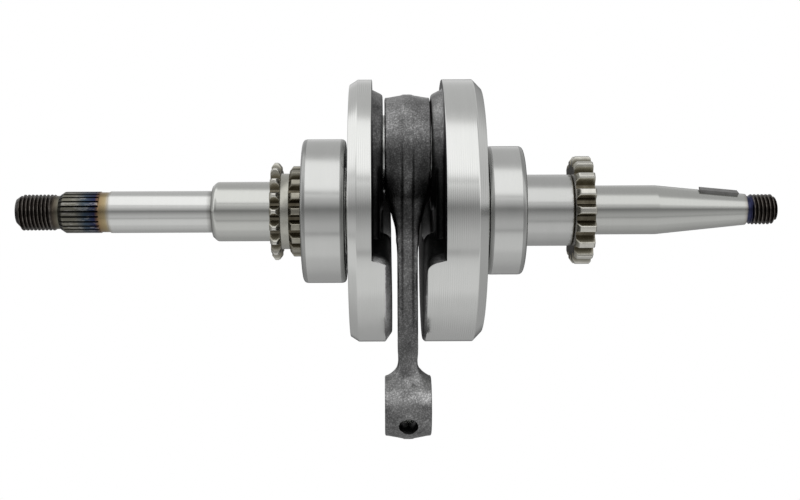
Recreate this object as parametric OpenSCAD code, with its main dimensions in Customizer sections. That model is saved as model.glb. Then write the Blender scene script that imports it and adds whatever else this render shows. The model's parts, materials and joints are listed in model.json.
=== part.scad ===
// Built-up crankshaft of a small four-stroke engine, with its connecting rod and main bearings.
// X runs along the crank axis: the drive side is -X, the magneto side is +X, and Z is up.
// The origin is the centre of the drive-side main bearing. All sizes are in millimetres.

/* [Crank] */
// Crank throw, half of the piston's stroke
throw = 20; // [19:0.1:20.5]
// Turn of the crankpin from straight up, towards -Y
rest_turn = 22; // [0:1:45]
// Radius of the webs
web_r = 42.7; // [42:0.1:45]
// Radius of the crankpin
pin_r = 12; // [11.8:0.05:12]
// Distance from the drive bearing's centre to the cylinder's centreline
centre_x = 26.7; // [26:0.1:28]

/* [Webs] */
// Half of the gap between the counterweights
weight_face = 4.8; // [4.4:0.1:5]
// Distance from the centreline to the bottom of the big end's pocket
pocket_face = 8.5; // [8.2:0.1:9]
// Radius of that pocket about the crankpin
pocket_r = 28; // [27:0.5:29]
// Distance from the centreline to the recessed half of each web
rim_face = 11.2; // [10.5:0.1:12]
// Radius of the crankpin boss at its face
boss_r = 18; // [17:0.1:18.5]
// Half width of the pad below the boss, at the crank axis
pad_w = 26.9; // [24:0.1:28]
// Radius of the counterweight's rounded corners
corner_r = 3; // [1:0.5:5]
// Distance from the centreline to the drive boss's face
drive_boss = 7.7; // [7.6:0.1:8]
// Distance from the centreline to the magneto boss's face
magneto_boss = 7.5; // [7.5:0.1:8]
// Distance from the centreline to the drive web's outer face
drive_web = 18.4; // [17.5:0.1:19]
// Distance from the centreline to the magneto web's outer face
magneto_web = 23.8; // [22:0.1:24.5]

/* [Connecting rod] */
// Distance between the rod's two bores
rod_length = 81.4; // [80:0.1:86]
// Width of the big end
big_w = 14.4; // [14:0.1:14.5]
// Outer radius of the big end
big_r = 18.6; // [18:0.1:18.8]
// Radius of the big end's bore
big_bore_r = 15; // [15:0.05:15.2]
// Width of the small end
small_w = 14.9; // [12:0.1:15]
// Outer radius of the small end
small_r = 10.8; // [10:0.1:12]
// Radius of the small end's bore
small_bore_r = 6.5; // [5:0.1:7]
// Width of the shank, across the crank
shank_w = 6.5; // [5:0.1:7]
// Depth of the shank beside the small end
shank_d_small = 11; // [9:0.5:13]
// Depth of the shank beside the big end
shank_d_big = 15; // [13:0.5:17]
// Angle of the oil hole below the horizontal
oil_hole_angle = 34.5; // [30:0.5:45]

/* [Big end bearing] */
// Number of rollers
roller_n = 14; // [10:1:14]
// Radius of each roller
roller_r = 1.46; // [1.4:0.01:1.47]
// Length of each roller
roller_l = 9.4; // [8:0.1:10]

/* [Main bearings] */
// Bore radius of both main bearings
bearing_bore_r = 10; // [9.8:0.05:10]
// Outer radius of the drive bearing
drive_bearing_r = 23.5; // [23.5:0.5:24]
// Width of the drive bearing
drive_bearing_w = 14; // [14:0.5:15]
// Number of balls in the drive bearing
drive_ball_n = 8; // [6:1:8]
// Outer radius of the magneto bearing
magneto_bearing_r = 21; // [21:0.5:22]
// Width of the magneto bearing
magneto_bearing_w = 12; // [12:0.5:12.5]
// Number of balls in the magneto bearing
magneto_ball_n = 9; // [6:1:9]
// Distance from the centreline to the magneto bearing's inner side
magneto_bearing_in = 25.6; // [25:0.1:27]

/* [Drive shaft] */
// Radius of the oil seal's journal
seal_r = 9.72; // [9:0.01:9.9]
// Radius of the belt pulley's seat
pulley_seat_r = 6.82; // [6.6:0.01:7.2]
// Outer radius of the spline
spline_r = 6.78; // [6.6:0.01:7]
// Number of spline grooves
spline_n = 25; // [18:1:28]
// Radius of the drive thread
drive_thread_r = 5.9; // [5.6:0.05:6]
// Length of the drive thread
drive_thread_l = 12.5; // [10:0.5:13]

/* [Magneto shaft] */
// Radius of the plain seat beside the pump gear
magneto_seat_r = 8; // [7.6:0.05:8.4]
// Length of that seat
magneto_seat_l = 21.5; // [18:0.5:24]
// Length of the 1:5 taper
taper_l = 29.5; // [26:0.5:30]
// Radius of the magneto thread
magneto_thread_r = 4.95; // [4.7:0.05:5]
// Length of the magneto thread
magneto_thread_l = 8.6; // [7:0.2:10]
// Pitch of both threads
thread_pitch = 1.25; // [1:0.25:1.5]

/* [Gears] */
// Number of teeth on each toothed ring
gear_n = 18; // [16:1:20]
// Tip radius of the chain sprocket
sprocket_r = 16.1; // [15.5:0.1:16.5]
// Tip radius of the timing gear beside it
timing_r = 14.9; // [14.5:0.1:15.2]
// Tip radius of the pump drive gear
pump_r = 17.75; // [17:0.05:18.2]
// Width of the pump drive gear
pump_w = 6.1; // [5:0.1:7]
// Outer radius of the spacer collar
collar_r = 11.66; // [11:0.05:12.5]
// Length of the spacer collar
collar_l = 16; // [14:0.5:18]

/* [Hidden] */
$fn = 96;
drive_balls = [for (i = [1:drive_ball_n]) str("drive_ball_", i)];
magneto_balls = [for (i = [1:magneto_ball_n]) str("magneto_ball_", i)];
rollers = [for (i = [1:roller_n]) str("big_end_roller_", i)];

// Clearance between pieces that turn against each other
running = 0.1;
// Overlap that joins stacked shapes inside one piece
lap = 0.5;

// Stations along the shaft, from the drive end to the magneto end
drive_face_x = -drive_bearing_w / 2;
timing_w = 4.3;
sprocket_neck_w = 2.8;
sprocket_w = 3.1;
sprocket_x = drive_face_x - timing_w - sprocket_neck_w - sprocket_w;
seal_x = sprocket_x - 19.3;
seat_x = seal_x - 33.6;
ring_w = 3.3;
ring_x = seat_x - ring_w;
spline_l = 13.1;
spline_x = ring_x - spline_l;
drive_relief_l = 1.9;
drive_thread_x = spline_x - drive_relief_l;
drive_end_x = drive_thread_x - drive_thread_l;
magneto_bearing_x = centre_x + magneto_bearing_in + magneto_bearing_w / 2;
collar_x = magneto_bearing_x + magneto_bearing_w / 2;
pump_x = collar_x + collar_l;
magneto_seat_x = pump_x + pump_w;
taper_x = magneto_seat_x + magneto_seat_l;
taper_end_x = taper_x + taper_l;
magneto_relief_l = 1.3;
magneto_thread_x = taper_end_x + magneto_relief_l;
magneto_end_x = magneto_thread_x + magneto_thread_l;

// Radii of the parts of the shaft that other pieces hide
hub_r = 13.6;
journal_r = bearing_bore_r;
gear_seat_r = 8.5;
ring_r = 6.2;
groove_r = 0.6;
spline_turn = 4;
taper_slope = 0.1;
taper_end_r = magneto_seat_r - taper_slope * taper_l;

// Ball bearings: [bore radius, outer radius, width, pitch radius, ball radius, number of balls]
drive_bearing = [bearing_bore_r, drive_bearing_r, drive_bearing_w, 16.75, 3.969, drive_ball_n];
magneto_bearing = [bearing_bore_r, magneto_bearing_r, magneto_bearing_w, 15.5, 3.175, magneto_ball_n];

// Colours
ground = [0.72, 0.72, 0.73];
forged = [0.30, 0.30, 0.31];
hardened = [0.42, 0.39, 0.36];
ring_steel = [0.78, 0.78, 0.80];
cage_steel = [0.55, 0.54, 0.52];

// ---- Shapes ----

// A solid turned about X, from points of [radius, station]
module turned(points) {
    rotate([0, 90, 0]) rotate_extrude() polygon(points);
}

// A flat outline in Y and Z, extruded from station x0 to x1
module prism(x0, x1) {
    translate([x0, 0, 0]) rotate([90, 0, 90]) linear_extrude(x1 - x0) children();
}

// A plain ring about X
module ring(x0, x1, inner, outer) {
    prism(x0, x1) difference() {
        circle(outer);
        circle(inner);
    }
}

// Everything that turns with the crank, at its rest angle
module on_crank() {
    rotate([rest_turn, 0, 0]) children();
}

// Pieces round the crankpin, in the centreline's plane
module on_pin() {
    translate([centre_x, -throw * sin(rest_turn), throw * cos(rest_turn)]) children();
}

// Copies spaced evenly about X, at a radius from the axis
module around(n, r, start = 0) {
    for (i = [0:n - 1])
        rotate([start + i * 360 / n, 0, 0]) translate([0, 0, r]) children();
}

// V-shaped thread crests and roots between two stations
function thread_profile(x0, count, r, pitch) = [
    for (i = [0:count - 1], step = [[0.02, 0.62], [0.42, 0], [0.56, 0]])
        [r - step[1] * pitch, x0 + (i + step[0]) * pitch]
];

// Points of a toothed ring: flat roots and tips, with their shares of the pitch
function tooth_outline(n, root, tip, root_share, tip_share, start = 0) = [
    for (i = [0:n - 1], step = [[-0.5, 0], [-root_share / 2, 0], [-tip_share / 2, 1], [tip_share / 2, 1],
                                [root_share / 2, 0]])
        let (a = start + (i + step[0]) * 360 / n, r = root + step[1] * (tip - root))
        [r * sin(a), r * cos(a)]
];

// ---- Crank halves ----

// Where the pad's straight side meets the boss's circle
pad_r = boss_r + 1.4;
pad_span = sqrt(pad_w * pad_w + throw * throw);
pad_angle = atan2(throw, -pad_w) - asin(pad_r / pad_span);
pad_reach = sqrt(pad_span * pad_span - pad_r * pad_r);
pad_top = [pad_w + pad_reach * cos(pad_angle), pad_reach * sin(pad_angle)];

// Outline of the raised pad that carries the boss
module pad_outline(grow = 0) {
    translate([0, throw]) circle(pad_r + grow);
    polygon([
        [-pad_top[0] - grow, pad_top[1]], [pad_top[0] + grow, pad_top[1]],
        [pad_w + grow, 0], [pad_w + grow, -corner_r],
        [-pad_w - grow, -corner_r], [-pad_w - grow, 0]
    ]);
}

// Outline of the counterweight's half of the web, with rounded corners at the rim
module weight_outline() {
    corner_y = sqrt(pow(web_r - corner_r, 2) - corner_r * corner_r);
    for (side = [-1, 1])
        translate([side * corner_y, -corner_r]) circle(corner_r);
    translate([-corner_y, -2 * corner_r]) square([2 * corner_y, 2 * corner_r]);
    translate([-web_r, -web_r]) square([2 * web_r, web_r - corner_r]);
}

// One web in its outward direction, with the centreline at zero
module web(out, boss, chamfer_x, chamfer_r, edge_x, edge_r) {
    difference() {
        union() {
            turned([[0, rim_face], [web_r - 0.6, rim_face], [web_r, rim_face + 0.6],
                    [web_r, out - chamfer_x], [web_r - chamfer_r, out], [0, out]]);
            intersection() {
                turned([[0, weight_face], [web_r - edge_r, weight_face],
                        [web_r, weight_face + edge_x], [web_r, rim_face + lap], [0, rim_face + lap]]);
                prism(0, rim_face + lap) weight_outline();
            }
            prism(pocket_face + 1.2, rim_face + lap) pad_outline(0.8);
            prism(pocket_face, rim_face + lap) pad_outline();
        }
        translate([0, 0, throw]) turned([[0, 0], [pocket_r, 0], [pocket_r, pocket_face], [0, pocket_face]]);
        prism(0, out + lap) translate([0, throw]) circle(pin_r);
    }
    translate([0, 0, throw]) turned([[pin_r, boss], [boss_r, boss], [pad_r, pocket_face + 0.1],
                                     [pad_r, rim_face], [pin_r, rim_face]]);
}

// Turned steps of the drive shaft, with its thread
module drive_shaft() {
    root = drive_thread_r - 0.62 * thread_pitch;
    crests = floor(drive_thread_l / thread_pitch) - 1;
    difference() {
        turned(concat(
            [[0, drive_end_x], [root - 0.6, drive_end_x], [root, drive_end_x + 1]],
            thread_profile(drive_end_x + 1.2, crests, drive_thread_r, thread_pitch),
            [[root, drive_thread_x], [5.55, drive_thread_x], [5.55, spline_x], [6, spline_x],
             [spline_r, spline_x + 1.6], [spline_r, ring_x], [ring_r, ring_x], [ring_r, seat_x],
             [pulley_seat_r, seat_x], [pulley_seat_r, seal_x],
             [seal_r - 1.5, seal_x], [seal_r - 0.45, seal_x + 0.45], [seal_r, seal_x + 1.5],
             [seal_r, sprocket_x], [journal_r, sprocket_x], [journal_r, drive_bearing_w / 2],
             [hub_r, drive_bearing_w / 2], [hub_r, centre_x - drive_web + lap],
             [0, centre_x - drive_web + lap]]
        ));
        around(spline_n, spline_r + 0.1, spline_turn)
            prism(spline_x - lap, ring_x) circle(groove_r, $fn = 24);
    }
}

// Turned steps of the magneto shaft, with its taper and thread
module magneto_shaft() {
    root = magneto_thread_r - 0.62 * thread_pitch;
    crests = floor(magneto_thread_l / thread_pitch) - 1;
    turned(concat(
        [[0, centre_x + magneto_web - lap], [hub_r, centre_x + magneto_web - lap],
         [hub_r, magneto_bearing_x - magneto_bearing_w / 2],
         [journal_r, magneto_bearing_x - magneto_bearing_w / 2], [journal_r, collar_x],
         [gear_seat_r, collar_x], [gear_seat_r, magneto_seat_x], [magneto_seat_r, magneto_seat_x],
         [magneto_seat_r, taper_x], [taper_end_r, taper_end_x], [4.55, taper_end_x],
         [4.55, magneto_thread_x], [root, magneto_thread_x]],
        thread_profile(magneto_thread_x, crests, magneto_thread_r, thread_pitch),
        [[root, magneto_end_x - 1.4], [root, magneto_end_x - 0.7], [root - 0.7, magneto_end_x],
         [0, magneto_end_x]]
    ));
}

// A centre drilling in a shaft's end, pointing along +X
module centre_drilling(x) {
    translate([x, 0, 0]) turned([[0, -0.1], [1.6, -0.1], [0.7, 1.6], [0.7, 3.4], [0, 3.9]]);
}

module drive_crank_half() {
    color(ground) on_crank() difference() {
        union() {
            translate([centre_x, 0, 0]) mirror([1, 0, 0]) web(drive_web, drive_boss, 2.6, 1.5, 2.3, 3.3);
            drive_shaft();
        }
        centre_drilling(drive_end_x);
    }
}

module magneto_crank_half() {
    color(ground) on_crank() difference() {
        union() {
            translate([centre_x, 0, 0]) web(magneto_web, magneto_boss, 2.9, 3, 2, 1.2);
            magneto_shaft();
        }
        mirror([1, 0, 0]) centre_drilling(-magneto_end_x);
        key_blank();
    }
}

// Half-moon key in the taper, in line with the crankpin
key_l = 13;
key_w = 3;
key_x = taper_x + 20.5;
key_proud = 0.8;
key_h = 5;

module key_blank() {
    surface_r = magneto_seat_r - taper_slope * (key_x - taper_x);
    top = surface_r + key_proud;
    translate([key_x, 0, top]) rotate([0, atan(taper_slope), 0]) intersection() {
        translate([0, key_w / 2, key_l / 2 - key_h]) rotate([90, 0, 0]) cylinder(d = key_l, h = key_w);
        translate([-key_l / 2, -key_w / 2, -key_h]) cube([key_l, key_w, key_h]);
    }
}

module woodruff_key() {
    color(ground) on_crank() key_blank();
}

// The pressed pin, flush with both webs, with a blind oil bore that opens on the drive side
plug_w = 3;
pin_bore_r = 4.5;

module crank_pin() {
    color(ground) on_pin() difference() {
        turned([[0, -drive_web], [pin_r - 0.5, -drive_web], [pin_r, -drive_web + 0.5],
                [pin_r, magneto_web - 0.5], [pin_r - 0.5, magneto_web], [0, magneto_web]]);
        prism(-drive_web - lap, 10) circle(pin_bore_r);
        rotate([-90, 0, 0]) cylinder(r = 1.5, h = pin_r + lap);
    }
}

module crank_pin_plug() {
    color(ground) on_pin() turned([
        [0, -drive_web], [pin_bore_r - 0.4, -drive_web], [pin_bore_r, -drive_web + 0.4],
        [pin_bore_r, -drive_web + plug_w], [0, -drive_web + plug_w]
    ]);
}

// ---- Gears ----

// A toothed ring with chamfered or rounded edges
module toothed_ring(x0, x1, root, tip, root_share, tip_share, edge) {
    intersection() {
        prism(x0, x1) polygon(tooth_outline(gear_n, root, tip, root_share, tip_share, 180 / gear_n));
        turned([[0, x0], [tip - edge, x0], [tip, x0 + edge], [tip, x1 - edge], [tip - edge, x1], [0, x1]]);
    }
}

module timing_sprocket() {
    neck_x = sprocket_x + sprocket_w;
    timing_x = neck_x + sprocket_neck_w;
    color(hardened) on_crank() difference() {
        union() {
            toothed_ring(sprocket_x, neck_x, 13, sprocket_r, 0.86, 0.12, 0.9);
            prism(neck_x - lap, timing_x + lap) circle(12.37);
            toothed_ring(timing_x, drive_face_x, 12.4, timing_r, 0.72, 0.4, 0.8);
        }
        prism(sprocket_x - lap, drive_face_x + lap) circle(journal_r);
    }
}

module spacer_collar() {
    color(ring_steel) on_crank() turned([
        [gear_seat_r, collar_x], [collar_r - 0.4, collar_x], [collar_r, collar_x + 0.4],
        [collar_r, pump_x - 0.4], [collar_r - 0.4, pump_x], [gear_seat_r, pump_x]
    ]);
}

module pump_drive_gear() {
    color(hardened) on_crank() difference() {
        toothed_ring(pump_x, magneto_seat_x, 14.6, pump_r, 0.72, 0.36, 1);
        prism(pump_x - lap, magneto_seat_x + lap) circle(gear_seat_r);
    }
}

// ---- Connecting rod ----

// The shank starts and ends inside the eyes
shank_top = 13;
shank_foot = rod_length - 5;

// Half depth of the shank at a distance below the crankpin: it flares smoothly into both eyes
function shank_half(s) =
    (shank_d_small + (shank_d_big - shank_d_small) * (rod_length - s) / rod_length) / 2
    + 4.5 * exp(-(s - shank_top) / 4.3)
    + 2.5 * exp(-(shank_foot - s) / 4.5);

shank_steps = 24;
shank_side = [
    for (i = [0:shank_steps])
        let (s = shank_top + i * (shank_foot - shank_top) / shank_steps)
        [shank_half(s), -s]
];

// Outline of the shank in Y and Z, with the crankpin at the origin
module shank_outline() {
    polygon(concat(shank_side, [for (i = [shank_steps:-1:0]) [-shank_side[i][0], shank_side[i][1]]]));
}

// Half width of the rod at a distance below the crankpin: the big end runs smoothly into the shank
neck_start = 5;
neck_l = 29;
neck_steps = 12;
function ease(t) = t * t * (3 - 2 * t);
function rod_half(s) = (big_w - (big_w - shank_w) * ease((s - neck_start) / neck_l)) / 2;
neck_side = [for (i = [0:neck_steps]) let (s = neck_start + i * neck_l / neck_steps) [rod_half(s), -s]];

// Space that narrows below the big end
module rod_envelope() {
    side = concat([[big_w / 2, big_r + 1]], neck_side, [[shank_w / 2, -rod_length]]);
    last = len(side) - 1;
    rotate([90, 0, 0]) translate([0, 0, -big_r - 1]) linear_extrude(2 * big_r + 2)
        polygon(concat(side, [for (i = [last:-1:0]) [-side[i][0], side[i][1]]]));
}

// Pocket in one side of the I-shaped shank
module shank_pocket() {
    top = 25;
    bottom = rod_length - 16;
    prism(1.7, shank_w) {
        translate([0, -top]) circle(4.6);
        translate([0, -bottom]) circle(3.4);
        polygon([[-4.6, -top], [4.6, -top], [3.4, -bottom], [-3.4, -bottom]]);
    }
}

// A crowned eye of the rod
module eye(w, edge_r, crown_r) {
    turned([
        [0, -w / 2], [edge_r, -w / 2], [edge_r + (crown_r - edge_r) * 0.62, -w / 4], [crown_r, -w / 10],
        [crown_r, w / 10], [edge_r + (crown_r - edge_r) * 0.62, w / 4], [edge_r, w / 2], [0, w / 2]
    ]);
}

module connecting_rod() {
    small_z = -rod_length;
    color(forged) on_pin() difference() {
        union() {
            intersection() {
                union() {
                    eye(big_w, big_r - 1, big_r);
                    prism(-big_w / 2, big_w / 2) shank_outline();
                }
                rod_envelope();
            }
            ring(-big_w / 2, big_w / 2, big_bore_r - lap, big_bore_r + 1.2);
            translate([0, 0, small_z]) eye(small_w, small_r - 1.1, small_r);
            intersection() {
                prism(-small_w / 2, small_w / 2) shank_outline();
                translate([0, 0, small_z]) turned([
                    [0, -small_w / 2], [9.4, -small_w / 2], [10.3, -small_w / 2 + 1.6],
                    [11.1, -shank_w / 2 - 1.2], [13, -shank_w / 2], [13, shank_w / 2],
                    [11.1, shank_w / 2 + 1.2], [10.3, small_w / 2 - 1.6], [9.4, small_w / 2], [0, small_w / 2]
                ]);
            }
        }
        ring(-big_w, big_w, 0, big_bore_r);
        translate([0, 0, small_z]) ring(-small_w, small_w, 0, small_bore_r);
        shank_pocket();
        mirror([1, 0, 0]) shank_pocket();
        translate([0, 0, small_z]) rotate([90 + oil_hole_angle, 0, 0]) {
            cylinder(r = 2, h = small_r + 2);
            translate([0, 0, small_r - 2]) cylinder(r1 = 2, r2 = 4, h = 4);
        }
    }
}

// ---- Big end bearing ----

roller_pitch = (pin_r + big_bore_r) / 2;
cage_pocket = roller_r + 0.1;

module big_end_cage() {
    color(cage_steel) on_pin() difference() {
        ring(-6.7, 6.7, roller_pitch - 0.85, roller_pitch + 0.85);
        around(roller_n, roller_pitch) prism(-roller_l / 2 - 0.15, roller_l / 2 + 0.15) circle(cage_pocket);
    }
}

module big_end_roller(i) {
    color(ring_steel) on_pin() rotate([i * 360 / roller_n, 0, 0]) translate([0, 0, roller_pitch]) turned([
        [0, -roller_l / 2], [roller_r - 0.25, -roller_l / 2], [roller_r, -roller_l / 2 + 0.25],
        [roller_r, roller_l / 2 - 0.25], [roller_r - 0.25, roller_l / 2], [0, roller_l / 2]
    ]);
}

// ---- Main bearings ----

corner = 1.3;

// Raceway that the balls run in
module raceway(b) {
    rotate([0, 90, 0]) rotate_extrude() translate([b[3], 0]) circle(b[4] + running);
}

module bearing_outer_ring(b) {
    shoulder = b[3] + b[4] * 0.62;
    difference() {
        turned([
            [shoulder, -b[2] / 2], [b[1] - corner, -b[2] / 2], [b[1] - corner * 0.3, corner * 0.3 - b[2] / 2],
            [b[1], corner - b[2] / 2], [b[1], b[2] / 2 - corner],
            [b[1] - corner * 0.3, b[2] / 2 - corner * 0.3], [b[1] - corner, b[2] / 2], [shoulder, b[2] / 2]
        ]);
        raceway(b);
    }
}

module bearing_inner_ring(b) {
    shoulder = b[3] - b[4] * 0.62;
    difference() {
        turned([
            [b[0], -b[2] / 2], [shoulder, -b[2] / 2], [shoulder, b[2] / 2], [b[0], b[2] / 2]
        ]);
        raceway(b);
    }
}

// One pressed half of the ribbon cage, on the +X side of the balls
sheet = 0.6;
rivet_r = 0.55;
ball_turn = 8;

module cage_half(b) {
    inner = b[3] - b[4] * 0.36;
    outer = b[3] + b[4] * 0.36;
    difference() {
        union() {
            ring(0, sheet, inner, outer);
            intersection() {
                ring(0, b[2] / 2, inner, outer);
                around(b[5], b[3], ball_turn) sphere(b[4] + 0.15 + sheet);
            }
        }
        around(b[5], b[3], ball_turn) sphere(b[4] + 0.15);
        around(b[5], b[3], ball_turn + 180 / b[5]) prism(-1, 1) circle(rivet_r);
    }
}

module cage_rivets(b) {
    around(b[5], b[3], ball_turn + 180 / b[5]) turned([
        [0, -sheet - 0.4], [rivet_r + 0.3, -sheet - 0.3], [rivet_r + 0.4, -sheet], [rivet_r, -sheet],
        [rivet_r, sheet], [rivet_r + 0.4, sheet], [rivet_r + 0.3, sheet + 0.3], [0, sheet + 0.4]
    ]);
}

module bearing_ball(b, i) {
    rotate([ball_turn + (i - 1) * 360 / b[5], 0, 0]) translate([0, 0, b[3]]) sphere(b[4]);
}

module at_magneto() {
    translate([magneto_bearing_x, 0, 0]) children();
}

module drive_outer_ring() {
    color(ring_steel) bearing_outer_ring(drive_bearing);
}

module drive_inner_ring() {
    color(ring_steel) on_crank() bearing_inner_ring(drive_bearing);
}

module drive_cage_inboard() {
    color(cage_steel) cage_half(drive_bearing);
}

module drive_cage_outboard() {
    color(cage_steel) mirror([1, 0, 0]) cage_half(drive_bearing);
}

module drive_cage_rivets() {
    color(cage_steel) cage_rivets(drive_bearing);
}

module drive_ball(i) {
    color(ring_steel) bearing_ball(drive_bearing, i);
}

module magneto_outer_ring() {
    color(ring_steel) at_magneto() bearing_outer_ring(magneto_bearing);
}

module magneto_inner_ring() {
    color(ring_steel) at_magneto() on_crank() bearing_inner_ring(magneto_bearing);
}

module magneto_cage_outboard() {
    color(cage_steel) at_magneto() cage_half(magneto_bearing);
}

module magneto_cage_inboard() {
    color(cage_steel) at_magneto() mirror([1, 0, 0]) cage_half(magneto_bearing);
}

module magneto_cage_rivets() {
    color(cage_steel) at_magneto() cage_rivets(magneto_bearing);
}

module magneto_ball(i) {
    color(ring_steel) at_magneto() bearing_ball(magneto_bearing, i);
}

drive_crank_half();
magneto_crank_half();
crank_pin();
crank_pin_plug();
woodruff_key();
timing_sprocket();
spacer_collar();
pump_drive_gear();
connecting_rod();
big_end_cage();
for (i = [1:roller_n]) big_end_roller(i);
drive_outer_ring();
drive_inner_ring();
drive_cage_inboard();
drive_cage_outboard();
drive_cage_rivets();
for (i = [1:drive_ball_n]) drive_ball(i);
magneto_outer_ring();
magneto_inner_ring();
magneto_cage_inboard();
magneto_cage_outboard();
magneto_cage_rivets();
for (i = [1:magneto_ball_n]) magneto_ball(i);
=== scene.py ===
"""Looks of the crankshaft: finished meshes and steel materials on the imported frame.

Lengths are in millimetres until a mesh or an object is made. X runs along the crank.
"""

import json
import math

import bmesh
import bpy
import numpy as np
from mathutils import Matrix, Vector, noise


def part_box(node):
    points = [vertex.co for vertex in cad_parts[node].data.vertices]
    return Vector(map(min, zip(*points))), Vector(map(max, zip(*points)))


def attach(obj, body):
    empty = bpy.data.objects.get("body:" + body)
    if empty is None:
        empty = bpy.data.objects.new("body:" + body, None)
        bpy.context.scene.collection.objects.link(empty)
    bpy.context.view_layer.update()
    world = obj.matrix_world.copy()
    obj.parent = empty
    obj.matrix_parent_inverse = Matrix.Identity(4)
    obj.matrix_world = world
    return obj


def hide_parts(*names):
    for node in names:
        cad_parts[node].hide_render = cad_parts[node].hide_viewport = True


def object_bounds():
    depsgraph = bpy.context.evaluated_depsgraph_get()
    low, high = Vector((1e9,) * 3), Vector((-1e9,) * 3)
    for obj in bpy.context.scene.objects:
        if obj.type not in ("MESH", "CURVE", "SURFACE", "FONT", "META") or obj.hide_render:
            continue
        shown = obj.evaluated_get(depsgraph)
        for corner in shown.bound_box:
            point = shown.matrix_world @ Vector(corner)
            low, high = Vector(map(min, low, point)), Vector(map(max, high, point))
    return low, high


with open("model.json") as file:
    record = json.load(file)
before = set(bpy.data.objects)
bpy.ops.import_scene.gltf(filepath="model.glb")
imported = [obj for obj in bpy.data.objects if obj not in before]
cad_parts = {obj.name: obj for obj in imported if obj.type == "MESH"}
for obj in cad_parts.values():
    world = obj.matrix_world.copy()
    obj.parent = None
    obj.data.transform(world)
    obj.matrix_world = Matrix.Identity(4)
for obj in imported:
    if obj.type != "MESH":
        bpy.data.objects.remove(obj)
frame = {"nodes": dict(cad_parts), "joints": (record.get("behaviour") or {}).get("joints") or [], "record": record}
cad_box = [list(corner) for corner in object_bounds()]

MM = 0.001

# ---------------------------------------------------------------- sizes from the frame


def box(node):
    """Lowest and highest corner of a CAD node, in millimetres."""
    low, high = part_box(node)
    return np.array(low) / MM, np.array(high) / MM


def joint(name):
    return next(j for j in frame["joints"] if j["name"] == name)


def mount(name):
    return next(m for m in frame["record"]["mounts"] if m["name"] == name)


PIN = np.array(joint("rod_swing")["pos_m"]) / MM
CENTRE_X = PIN[0]
THROW = math.hypot(PIN[1], PIN[2])
REST_TURN = math.atan2(-PIN[1], PIN[2])
SMALL_END_Z = mount("small_end_bore")["pos_m"][2] / MM

WEB_R = box("drive_crank_half")[1][1]
DRIVE_END = box("drive_crank_half")[0][0]
MAGNETO_END = box("magneto_crank_half")[1][0]
SPROCKET_X = box("timing_sprocket")[0][0]
DRIVE_BEARING = box("drive_outer_ring")
MAGNETO_BEARING = box("magneto_outer_ring")
COLLAR = box("spacer_collar")
PUMP_GEAR = box("pump_drive_gear")
GEAR_N = 18
SPLINE_N = 25

# Radii along the shaft
JOURNAL_R = 10.0
HUB_R = 13.6
SEAL_R = mount("oil_seal_journal")["dims"]["r_mm"]
SEAT_R = mount("pulley_seat")["dims"]["r_mm"]
TINT_R = 6.55
SPLINE_R = 6.78
DRIVE_THREAD_R = 5.9
MAGNETO_SEAT_R = mount("magneto_seat")["dims"]["r_mm"]
GEAR_SEAT_R = 8.5
TAPER_END_R = 5.05
MAGNETO_THREAD_R = 4.95
THREAD_PITCH = 1.25

# Stations along the shaft
THREAD_END_X = DRIVE_END + 12.5
SPLINE_X = DRIVE_END + 14.4
TINT_X = SPLINE_X + 13.1
SEAT_X = TINT_X + 3.3
SEAL_X = SPROCKET_X - 19.3
NECK_X = SPROCKET_X + 3.1
TIMING_X = NECK_X + 2.8
TAPER_X = PUMP_GEAR[1][0] + 21.5
TAPER_END_X = TAPER_X + 29.5
MAGNETO_THREAD_X = TAPER_END_X + 1.25


# ---------------------------------------------------------------- mesh making


def mesh_object(name, vertices, faces, materials, face_slots=None, sharp=35):
    """A smooth-shaded mesh from millimetre vertices, with sharp edges above an angle in degrees."""
    mesh = bpy.data.meshes.new(name)
    mesh.from_pydata((np.asarray(vertices, float) * MM).tolist(), [], faces)
    for m in materials:
        mesh.materials.append(m)
    if face_slots is not None:
        mesh.polygons.foreach_set("material_index", np.asarray(face_slots, np.int32))
    finish_mesh(mesh, sharp)
    obj = bpy.data.objects.new(name, mesh)
    bpy.context.scene.collection.objects.link(obj)
    return obj


def finish_mesh(mesh, sharp):
    """Faces a closed mesh outwards, smooths it and marks its sharp edges."""
    work = bmesh.new()
    work.from_mesh(mesh)
    bmesh.ops.recalc_face_normals(work, faces=work.faces[:])
    work.to_mesh(mesh)
    work.free()
    mesh.polygons.foreach_set("use_smooth", np.ones(len(mesh.polygons), bool))
    mesh.set_sharp_from_angle(angle=math.radians(sharp))


def bake_modifiers(obj):
    """Replaces an object's mesh by its evaluated one."""
    graph = bpy.context.evaluated_depsgraph_get()
    graph.update()
    made = bpy.data.meshes.new_from_object(obj.evaluated_get(graph))
    obj.modifiers.clear()
    old = obj.data
    obj.data = made
    bpy.data.meshes.remove(old)


def shell_of(mesh):
    """Vertices in millimetres, faces and material slots of a mesh."""
    vertices = np.empty(len(mesh.vertices) * 3)
    mesh.vertices.foreach_get("co", vertices)
    faces = [tuple(p.vertices) for p in mesh.polygons]
    return vertices.reshape(-1, 3) / MM, faces, [p.material_index for p in mesh.polygons]


def cut_away(obj, cutter):
    """Cuts one closed object out of another and removes the cutter."""
    cut = obj.modifiers.new("cut", "BOOLEAN")
    cut.operation = "DIFFERENCE"
    cut.solver = "MANIFOLD"
    cut.object = cutter
    bake_modifiers(obj)
    bpy.data.objects.remove(cutter)


def grid_faces(rings, columns, closed):
    """Quads between neighbouring rings of points; closed joins the last ring to the first."""
    faces = []
    for i in range(rings if closed else rings - 1):
        a, b = i * columns, (i + 1) % rings * columns
        faces += [(a + j, a + (j + 1) % columns, b + (j + 1) % columns, b + j) for j in range(columns)]
    return faces


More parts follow.
